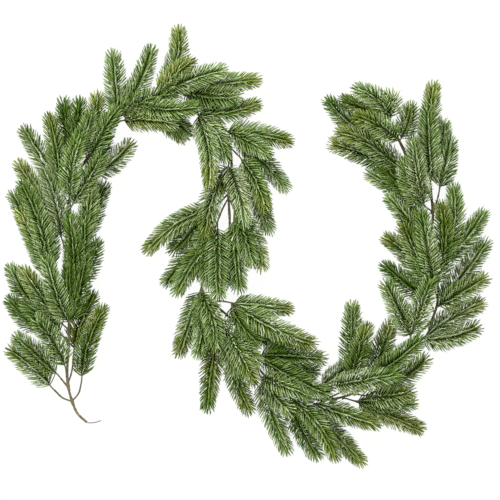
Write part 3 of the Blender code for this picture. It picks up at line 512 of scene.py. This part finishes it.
def lay_out_sprays(stem):
    """Every spray as it is laid out, before the cores are bent clear of each other."""
    sprays = []
    for name, (_, _, shapes) in SPRIGS.items():
        stalk = stalk_line(name, stem)
        for order, (via, tip, via_height, tip_height, bare) in enumerate(shapes):
            end = place(*tip, tip_height)
            control = 2 * place(*via, via_height) - 0.5 * (stalk[-1] + end)
            t = np.linspace(0, 1, 2 * POINTS_PER_CORE)[:, None]
            curve = (1 - t)**2 * stalk[-1] + 2 * t * (1 - t) * control + t**2 * end
            core = points_at(curve, np.linspace(0, lengths_along(curve)[-1], POINTS_PER_CORE))
            sprays.append({"sprig": name, "leads": order == 0, "stalk": stalk, "core": core,
                           "bare": bare * MM})
    return sprays


def close_pairs(points, reach):
    """Numbers of the points that lie within reach of each other in plan."""
    first, second = [], []
    for index in range(len(points) - 1):
        gaps = np.linalg.norm(points[index + 1:, :2] - points[index, :2], axis=1)
        near = np.flatnonzero(gaps < reach) + index + 1
        first.append(np.full(len(near), index))
        second.append(near)
    return np.concatenate(first), np.concatenate(second)


def pairs_to_part(sprays, reaches, fixed_count, points):
    """The close pairs of points to keep apart: of two sprays, or of a spray and a fixed line."""
    sprigs = [spray["sprig"] for spray in sprays]
    still = np.full(fixed_count, -1)
    spray_of = np.concatenate([np.repeat(np.arange(len(sprays)), POINTS_PER_CORE), still])
    sprig_of = np.repeat([sprigs.index(sprig) for sprig in sprigs], POINTS_PER_CORE)
    sprig_of = np.concatenate([sprig_of, still])
    reach = np.concatenate([reaches.ravel(), np.full(fixed_count, np.inf)])
    first, second = close_pairs(points, PAIR_REACH)
    near_fork = np.minimum(reach[first], reach[second]) < FORK_REACH
    at_fork = (sprig_of[first] == sprig_of[second]) & near_fork
    at_foot = (spray_of[second] < 0) & (reach[first] < FOOT_REACH)
    keep = (spray_of[first] != spray_of[second]) & ~at_fork & ~at_foot
    return first[keep], second[keep]


def pushes(points, first, second):
    """How far each point is pushed away from those that are too close to it."""
    offset = points[first] - points[second]
    gap = np.linalg.norm(offset, axis=1)
    way = offset * np.array([SIDEWAYS_SHARE, SIDEWAYS_SHARE, 1.0])
    length = np.maximum(np.linalg.norm(way, axis=1), LEAST_OFFSET)
    way *= (np.maximum(CORE_DISTANCE - gap, 0) / length)[:, None]
    close = (gap < CORE_DISTANCE).astype(float)
    count = len(points)
    met = np.bincount(first, close, count) + np.bincount(second, close, count)
    total = [np.bincount(first, part, count) - np.bincount(second, part, count) for part in way.T]
    return PUSH_SHARE * np.stack(total, axis=1) / np.maximum(met, 1)[:, None]


def bend_clear(sprays, fixed_lines):
    """Bend the cores clear of each other and of the fixed lines, with each core's foot held."""
    cores = np.array([spray["core"] for spray in sprays])
    reaches = np.array([lengths_along(core) for core in cores])
    freedom = np.clip((reaches - FREE_AFTER) / FREE_RAMP, 0, 1)[..., None]
    fixed = np.vstack(fixed_lines)
    points = np.vstack([cores.reshape(-1, 3), fixed])
    first, second = pairs_to_part(sprays, reaches, len(fixed), points)
    for _ in range(BEND_ROUNDS):
        step = pushes(points, first, second)[:-len(fixed)].reshape(cores.shape)
        step[:, 1:-1] = 0.5 * step[:, 1:-1] + 0.25 * (step[:, :-2] + step[:, 2:])
        cores += step * freedom
        bend = 0.5 * (cores[:, :-2] + cores[:, 2:]) - cores[:, 1:-1]
        cores[:, 1:-1] += STRAIGHTEN_SHARE * bend * freedom[:, 1:-1]
        lifted = np.maximum(cores[..., 2], LOWEST_CORE)
        cores[..., 2] = np.where(freedom[..., 0] > 0, lifted, cores[..., 2])
        points[:-len(fixed)] = cores.reshape(-1, 3)
    for spray, core in zip(sprays, cores):
        spray["core"] = core


def spray_line(spray):
    """A spray's centre line from its seat or fork to its tip, and where on it the needles begin and end."""
    stalk, core = spray["stalk"], spray["core"]
    if spray["leads"]:
        line = np.vstack([stalk[:-1], core])
        fork = lengths_along(stalk)[-1]
    else:
        line = np.vstack([core[0] - unit(stalk[-1] - stalk[-2]) * ROOT_SINK, core])
        fork = ROOT_SINK
    line = smooth(line, FINE_STEP)
    return line, fork + max(spray["bare"], LEAST_BARE), lengths_along(line)[-1] - TIP_MARGIN


def axes_along(line, roll):
    """The way ahead, the crest and the side at each point of a line. The roll turns the crest from up."""
    ahead = ways_along(line)
    crest = np.array([0.0, 0.0, 1.0]) - ahead * ahead[:, 2:]
    crest /= np.linalg.norm(crest, axis=1)[:, None]
    side = np.cross(ahead, crest)
    turned = math.cos(roll) * crest + math.sin(roll) * side
    return ahead, turned, math.cos(roll) * side - math.sin(roll) * crest


def share_between(along, first, last):
    """How far each distance along a core is from its first needle to its last, from 0 to 1."""
    return np.clip((along - first) / (last - first), 0, 1)


def needle_rows(first, last, draw):
    """Where needles stand on a core: the distance along it, the angle from its crest and the mean lean."""
    stations, angles = [], []
    for angle, shift in zip(ROW_ANGLES, ROW_SHIFTS):
        along = np.arange(first + shift * ROW_PITCH, last, ROW_PITCH)
        stations.append(along + draw.normal(0, STATION_SPREAD, len(along)))
        angles.append(math.radians(angle) + draw.normal(0, ROW_SPREAD, len(along)))
    stations, angles = np.concatenate(stations), np.concatenate(angles)
    share = share_between(stations, first, last)**TIP_SHARPNESS
    leans = LEAN_ALONG + (LEAN_AT_TIP - LEAN_ALONG) * share
    rosette = np.arange(TIP_NEEDLES)
    stations = np.concatenate([stations, last + ROSETTE_DEPTH * rosette / TIP_NEEDLES])
    angles = np.concatenate([angles, rosette * GOLDEN_ANGLE])
    leans = np.concatenate([leans, TIP_LEAN * np.sqrt(1 - rosette / TIP_NEEDLES)])
    return stations, angles, leans


def within_limits(places, radii):
    """Places kept above the floor and under the garland's height, as needles pressed there bend."""
    over = np.maximum(places[..., 2] - TOP_KNEE, 0)
    room = TOP_LIMIT - TOP_KNEE
    height = np.where(over > 0, TOP_KNEE + room * (1 - np.exp(-over / room)), places[..., 2])
    places[..., 2] = np.maximum(height, radii)
    return places


def needle_lengths(share, draw):
    """Each needle's length, from its share along the spray and by chance."""
    lengths = NEEDLE_LENGTH + (TIP_NEEDLE_LENGTH - NEEDLE_LENGTH) * share**TIP_SHARPNESS
    lengths = lengths * (1 + draw.normal(0, LENGTH_SPREAD, len(share)))
    return lengths * (1 - FOOT_SHORTENING * np.clip(1 - share / FOOT_SHARE, 0, 1))


def needle_arcs(leans, curls):
    """The slant of needles at their rings, and the reach there, ahead and outward, for a length of one."""
    start = (leans + curls)[:, None]
    turn = 2 * curls[:, None]
    slant = start - turn * np.array(RING_PLACES)
    forward = (np.sin(start) - np.sin(slant)) / turn
    outward = (np.cos(slant) - np.cos(start)) / turn
    return slant, forward, outward


def needle_shapes(line, first, last, roll, draw):
    """Every needle of a spray as rings of corners and a tip, its share along the spray and its angle."""
    stations, angles, leans = needle_rows(first, last, draw)
    count = len(stations)
    share = share_between(stations, first, last)
    leans = leans + draw.normal(0, SPRAY_LEAN_SPREAD) + draw.normal(0, LEAN_SPREAD, count)
    curls = np.abs(CURL + draw.normal(0, CURL_SPREAD, count)) + LEAST_CURL
    lengths = needle_lengths(share, draw)
    slant, forward, outward = needle_arcs(leans, curls)

    along = lengths_along(line)
    axis, ahead, crest, side = [values_at(stations, along, values)
                                for values in (line, *axes_along(line, roll))]
    out = np.cos(angles)[:, None] * crest + np.sin(angles)[:, None] * side
    across = np.cross(ahead, out)[:, None, :]
    seats = axis + SEAT_SHARE * CORE_RADIUS * out
    ahead, out = ahead[:, None, :], out[:, None, :]
    reach = forward[..., None] * ahead + outward[..., None] * out
    radii = NEEDLE_RADIUS * np.array(RING_WIDTHS)
    middles = within_limits(seats[:, None, :] + lengths[:, None, None] * reach, radii)

    crests = np.cos(slant)[..., None] * out - np.sin(slant)[..., None] * ahead
    sides = np.broadcast_to(across, crests.shape)
    corners = np.stack([sides, FLATNESS * crests, -sides, -FLATNESS * crests], axis=2)
    rings = middles[:, :-1, None, :] + radii[:-1, None, None] * corners[:, :-1]
    rings[..., 2] = np.maximum(rings[..., 2], 0)
    points = np.concatenate([rings.reshape(count, -1, 3), middles[:, -1:]], axis=1)
    return points, share, angles


def band(base, sides):
    """The faces between a ring of points that begins at a number and the ring after it."""
    return [(base + j, base + (j + 1) % sides, base + sides + (j + 1) % sides, base + sides + j)
            for j in range(sides)]


def needle_faces(count):
    """The faces of so many needles, each with its rings of points and then its tip."""
    tip = NEEDLE_SIDES * (len(RING_PLACES) - 1)
    last = tip - NEEDLE_SIDES
    faces = [tuple(range(NEEDLE_SIDES))[::-1]]
    for base in range(0, last, NEEDLE_SIDES):
        faces += band(base, NEEDLE_SIDES)
    faces += [(last + j, last + (j + 1) % NEEDLE_SIDES, tip) for j in range(NEEDLE_SIDES)]
    starts = range(0, count * (tip + 1), tip + 1)
    return [tuple(start + corner for corner in face) for start in starts for face in faces]


def tube(line, radii, sides):
    """A closed tube: its points, ring by ring, and its faces. The radii may differ by corner."""
    ahead = ways_along(line)
    across = np.zeros_like(line)
    last = np.array([0.0, 0.0, 1.0])
    for index, way in enumerate(ahead):
        last = unit(last - way * np.dot(last, way))
        across[index] = last
    other = np.cross(ahead, across)
    turns = (2 * math.pi * np.arange(sides) / sides)[None, :, None]
    spokes = np.cos(turns) * across[:, None, :] + np.sin(turns) * other[:, None, :]
    points = (line[:, None, :] + np.asarray(radii)[..., None] * spokes).reshape(-1, 3)
    faces = [tuple(range(sides))[::-1]]
    for base in range(0, len(points) - sides, sides):
        faces += band(base, sides)
    faces.append(tuple(range(len(points) - sides, len(points))))
    return points, faces


def core_tube(line, first):
    """A spray's core with its colours: a bare brown stalk that turns green where the needles start."""
    along = lengths_along(line)
    share = share_between(along, first, along[-1])
    neck = NECK_DEPTH * np.clip((along - first) / NECK_LENGTH, 0, 1)
    radii = CORE_RADIUS * (1 - neck - CORE_TAPER * share**2)
    points, faces = tube(line, np.repeat(radii[:, None], CORE_SIDES, axis=1), CORE_SIDES)
    points[:, 2] = np.maximum(points[:, 2], 0)
    green = np.clip((along - first + GREEN_LENGTH) / GREEN_LENGTH, 0, 1)[:, None]
    colours = (1 - green) * np.array(STALK_COLOUR) + green * np.array(CORE_COLOUR)
    return points, faces, np.repeat(colours, CORE_SIDES, axis=0)


def lit(colours, lights):
    """Each needle's colour at its rings, from how light they are: greyer where lighter, as a painted sheen,
    and deeper in colour where darker, as painted shade.
    """
    levels = colours[:, None, :]**(1 / EYE_POWER)
    change = levels[:, :, 1:2] * (lights[:, :, None]**(1 / EYE_POWER) - 1)
    change = change * np.where(change > 0, LIGHTER_SHARES, DARKER_SHARES)
    return np.maximum(levels + change, LEAST_LEVEL)**EYE_POWER


def needle_colours(tone, share, angles, draw):
    """The colour of each needle's points, from the spray's tone, its tip's tone, its row and chance, with
    painted shade near the core and on the rows below it.
    """
    along, _, tip = tone.partition("|")
    body, end = np.array(TONES[along]), np.array(TONES[tip or along])
    mixed = body + (end - body) * np.clip((share[:, None] - TIP_TONE_START) / TIP_TONE_RAMP, 0, 1)
    light = np.exp(draw.normal(0, LIGHT_SPREAD, len(share)) + draw.normal(0, SPRAY_LIGHT_SPREAD))
    hue = draw.normal(0, HUE_SPREAD, len(share))
    mixed = TONE_GAIN * mixed * np.stack([1 + hue, np.ones_like(hue), 1 - hue], axis=1)
    # Painted shade: needles below the core's sides are darker, most of all near the core, where the needles
    # above would shade them.
    above = np.clip(np.cos(angles) / UNDER_COSINE + 1, 0, 1)[:, None]
    under = np.array(UNDERSIDE_PAINTED_SHADE)
    # Ring by ring: painted shade at each needle's base by the core, and lighter tips, partly own colour and
    # partly painted highlight.
    rings = lit(mixed, light[:, None] * (np.array(RING_LIGHTS) * (under + (1 - under) * above)))
    return np.concatenate([np.repeat(rings[:, :-1], NEEDLE_SIDES, axis=1), rings[:, -1:]], axis=1)


def piece_from(name, points, faces, colours, material):
    """An object from points and faces, shaded smooth, with a colour at each point."""
    mesh = bpy.data.meshes.new(name)
    mesh.from_pydata(points.tolist(), [], faces)
    tone = mesh.color_attributes.new(name="tone", type="FLOAT_COLOR", domain="POINT")
    tone.data.foreach_set("color", np.hstack([colours, np.ones((len(colours), 1))]).ravel())
    mesh.polygons.foreach_set("use_smooth", np.ones(len(mesh.polygons), dtype=bool))
    mesh.materials.append(material)
    mesh.update()
    piece = bpy.data.objects.new(name, mesh)
    bpy.context.scene.collection.objects.link(piece)
    return piece


def joined(parts):
    """Parts put together, each given as its points, its faces and the colours of its points."""
    points, faces, colours, count = [], [], [], 0
    for part_points, part_faces, part_colours in parts:
        points.append(part_points)
        faces += [tuple(count + corner for corner in face) for face in part_faces]
        colours.append(part_colours)
        count += len(part_points)
    return np.vstack(points), faces, np.vstack(colours)


def dress_sprig(name, sprays, material, number):
    """A sprig's dense piece: the cores and every needle of its sprays."""
    draw = np.random.default_rng(SEED + number)
    parts = []
    for spray, tone in zip(sprays, SPRAY_TONES[name]):
        line, first, last = spray_line(spray)
        parts.append(core_tube(line, first))
        needles, share, angles = needle_shapes(line, first, last, draw.normal(0, ROLL_SPREAD), draw)
        colours = needle_colours(tone, share, angles, draw)
        parts.append((needles.reshape(-1, 3), needle_faces(len(needles)), colours.reshape(-1, 3)))
    return piece_from("garland_" + name, *joined(parts), material)


def wander(along, pitch, draw):
    """Values that wander about zero along a line, drawn at even marks."""
    marks = np.arange(0, along[-1] + MARK_MARGIN, pitch)
    return np.interp(along, marks, draw.normal(0, 1, len(marks)))[:, None]


def wrapped_tube(line, radius, sides, knots, ends, draw):
    """A tube wound with crepe tape: each turn rises to its lap, with knots where twigs join."""
    line = smooth(line, WRAP_STEP)
    along = lengths_along(line)
    lap = (along[:, None] / WRAP_PITCH - np.arange(sides) / sides) % 1.0
    swell = sum((np.exp(-((along - knot) / KNOT_REACH)**2) for knot in knots), np.zeros(len(along)))
    rise = 1 + WRAP_RISE * (lap - 0.5)
    rise *= 1 + WRAP_WOBBLE * wander(along, WOBBLE_PITCH, draw)
    rise *= 1 + KNOT_RISE * np.minimum(swell, MOST_SWELL)[:, None]
    points, faces = tube(line, radius * rise, sides)
    points[:, 2] = np.maximum(points[:, 2], 0)
    start, end = np.array(ends)
    share = (along / along[-1])[:, None, None]
    # Painted shade where each turn starts under the last, painted light towards its lap, and a mottle of
    # tone by chance.
    shade = (LAP_SHADE + LAP_LIGHT * lap**0.5) * np.exp(MOTTLE * wander(along, MOTTLE_PITCH, draw))
    colours = ((1 - share) * start + share * end) * shade[..., None]
    return points, faces, colours.reshape(-1, 3)


def dress_stem(stem, twigs, material):
    """The wrapped stem with its twigs, as one piece."""
    draw = np.random.default_rng(SEED - 1)
    knots = [nearest_on(stem, twig[0]) for twig in twigs]
    parts = [wrapped_tube(stem, STEM_RADIUS, STEM_SIDES, knots, (STEM_TAN, STEM_BROWN), draw)]
    parts += [wrapped_tube(twig, TWIG_RADIUS, TWIG_SIDES, [], (STEM_TAN, TWIG_END), draw) for twig in twigs]
    return piece_from("garland_stem", *joined(parts), material)


def dress_wire(material):
    """The bare wire, with a rounded cut end."""
    line = smooth([place(*point) for point in WIRE_ROUTE], WIRE_STEP)
    line[0] += unit(line[1] - line[0]) * WIRE_GAP
    radii = np.full(len(line), WIRE_RADIUS)
    radii[-2:] *= WIRE_END_WIDTHS
    points, faces = tube(line, np.repeat(radii[:, None], WIRE_SIDES, axis=1), WIRE_SIDES)
    return piece_from("garland_wire", points, faces, np.tile(WIRE_GREY, (len(points), 1)), material)


def remapped(tree, value, source, target):
    """A value taken from one range to another."""
    node = tree.nodes.new("ShaderNodeMapRange")
    node.inputs["From Min"].default_value, node.inputs["From Max"].default_value = source
    node.inputs["To Min"].default_value, node.inputs["To Max"].default_value = target
    tree.links.new(value, node.inputs["Value"])
    return node.outputs["Result"]


def toned_material(name, roughness, rough_spread, grain, grain_depth, grain_share):
    """A Principled material that takes its colour from the tone at each point, broken by fine noise."""
    material = bpy.data.materials.new(name)
    material.use_nodes = True
    tree = material.node_tree
    nodes, links = tree.nodes, tree.links
    shader = nodes["Principled BSDF"]
    where = nodes.new("ShaderNodeTexCoord")
    noise = nodes.new("ShaderNodeTexNoise")
    noise.inputs["Scale"].default_value = grain
    noise.inputs["Detail"].default_value = GRAIN_DETAIL
    links.new(where.outputs["Object"], noise.inputs["Vector"])

    tone = nodes.new("ShaderNodeVertexColor")
    tone.layer_name = "tone"
    shares = (1 - grain_share, 1 + grain_share)
    spread = remapped(tree, noise.outputs["Fac"], (GRAIN_LOW, GRAIN_HIGH), shares)
    scaled = nodes.new("ShaderNodeVectorMath")
    scaled.operation = "SCALE"
    links.new(tone.outputs["Color"], scaled.inputs[0])
    links.new(spread, scaled.inputs["Scale"])
    links.new(scaled.outputs["Vector"], shader.inputs["Base Color"])

    limits = (roughness - rough_spread, roughness + rough_spread)
    links.new(remapped(tree, noise.outputs["Fac"], (0, 1), limits), shader.inputs["Roughness"])
    bump = nodes.new("ShaderNodeBump")
    bump.inputs["Strength"].default_value = grain_depth
    bump.inputs["Distance"].default_value = GRAIN_HEIGHT
    links.new(noise.outputs["Fac"], bump.inputs["Height"])
    links.new(bump.outputs["Normal"], shader.inputs["Normal"])
    return material, shader


def needle_material(slot):
    """Soft moulded plastic with hardly any gloss."""
    material, shader = toned_material(slot, roughness=0.46, rough_spread=0.10, grain=900,
                                      grain_depth=0.15, grain_share=0.10)
    shader.inputs["Specular IOR Level"].default_value = 0.08
    return material


def stem_material():
    """Matte crepe paper tape."""
    material, shader = toned_material("stem_wrap_paper", roughness=0.82, rough_spread=0.10, grain=1400,
                                      grain_depth=0.55, grain_share=0.22)
    shader.inputs["Specular IOR Level"].default_value = 0.25
    return material


def wire_material():
    """Plain drawn steel."""
    material, shader = toned_material("wire_steel", roughness=0.38, rough_spread=0.08, grain=2500,
                                      grain_depth=0.2, grain_share=0.08)
    shader.inputs["Metallic"].default_value = 0.35
    return material


def needle_slot(name):
    """The slot of a sprig's needles."""
    if name in OLIVE_SPRIGS:
        return "needles_olive"
    if name in GREY_SPRIGS:
        return "needles_grey"
    return "needles_green"


def put_on(piece, node):
    """Let a piece stand for a solid of the part: it rides on the root body, and the solid is hidden."""
    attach(piece, "root")
    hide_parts(node)


def dress_garland():
    """Every piece of the garland."""
    stem = smooth([place(*point) for point in STEM_ROUTE], STEM_STEP)
    twigs = [twig_line(name) for name in TWIGS]
    sprays = lay_out_sprays(stem)
    stalks = {spray["sprig"]: spray["stalk"] for spray in sprays}
    stalk_steps = [even_steps(stalk, CURVE_STEP) for stalk in stalks.values()]
    bend_clear(sprays, [even_steps(stem, CURVE_STEP)] + twigs + stalk_steps)
    put_on(dress_stem(stem, twigs, stem_material()), "stem")
    put_on(dress_wire(wire_material()), "wire_end")
    materials = {slot: needle_material(slot) for slot in ("needles_green", "needles_olive", "needles_grey")}
    for number, name in enumerate(SPRIGS):
        own = [spray for spray in sprays if spray["sprig"] == name]
        slot = needle_slot(name)
        put_on(dress_sprig(name, own, materials[slot], number), name)


def floor_material():
    """A sheet lit evenly from below, as on a light table, so that it is just white and shows no shadow."""
    material = bpy.data.materials.new("floor_white")
    material.use_nodes = True
    shader = material.node_tree.nodes["Principled BSDF"]
    shader.inputs["Base Color"].default_value = FLOOR_COLOUR
    shader.inputs["Roughness"].default_value = 0.9
    shader.inputs["Specular IOR Level"].default_value = 0.1
    shader.inputs["Emission Color"].default_value = FLOOR_LIGHT
    shader.inputs["Emission Strength"].default_value = FLOOR_GLOW
    return material


def build_floor():
    """The white floor that the garland lies on."""
    bpy.ops.mesh.primitive_plane_add(size=FLOOR_SIZE, location=(0, 0, FLOOR_HEIGHT))
    floor = bpy.context.object
    floor.name = "floor"
    floor.data.materials.append(floor_material())


def add_light(name, place_at, size, power):
    """A square lamp that looks at the garland's middle."""
    data = bpy.data.lights.new(name, "AREA")
    data.shape = "SQUARE"
    data.size = size
    data.energy = power
    lamp = bpy.data.objects.new(name, data)
    lamp.location = place_at
    lamp.rotation_euler = (-Vector(place_at)).to_track_quat("-Z", "Y").to_euler()
    lamp.visible_camera = False
    bpy.context.scene.collection.objects.link(lamp)


def light_scene():
    """Soft studio light: a bright surround and one broad lamp."""
    world = bpy.data.worlds.new("studio")
    bpy.context.scene.world = world
    world.use_nodes = True
    sky = world.node_tree.nodes["Background"]
    sky.inputs["Color"].default_value = (1.0, 1.0, 1.0, 1.0)
    sky.inputs["Strength"].default_value = SKY_STRENGTH
    add_light("key", KEY_PLACE, KEY_SIZE, KEY_POWER)
    bpy.context.scene.view_settings.view_transform = "Standard"


def add_camera():
    """The camera, straight above the middle of the photograph."""
    middle = place(*PHOTO_CENTRE, 0)
    data = bpy.data.cameras.new("camera")
    data.sensor_width = SENSOR
    data.lens = SENSOR * (CAMERA_HEIGHT - MIDDLE_HEIGHT) / (PHOTO_PIXELS * PIXEL)
    data.clip_start = NEAREST_SEEN
    data.clip_end = FARTHEST_SEEN
    camera = bpy.data.objects.new("camera", data)
    camera.location = (middle[0], middle[1], CAMERA_HEIGHT)
    bpy.context.scene.collection.objects.link(camera)
    bpy.context.scene.camera = camera


dress_garland()
build_floor()
light_scene()
add_camera()
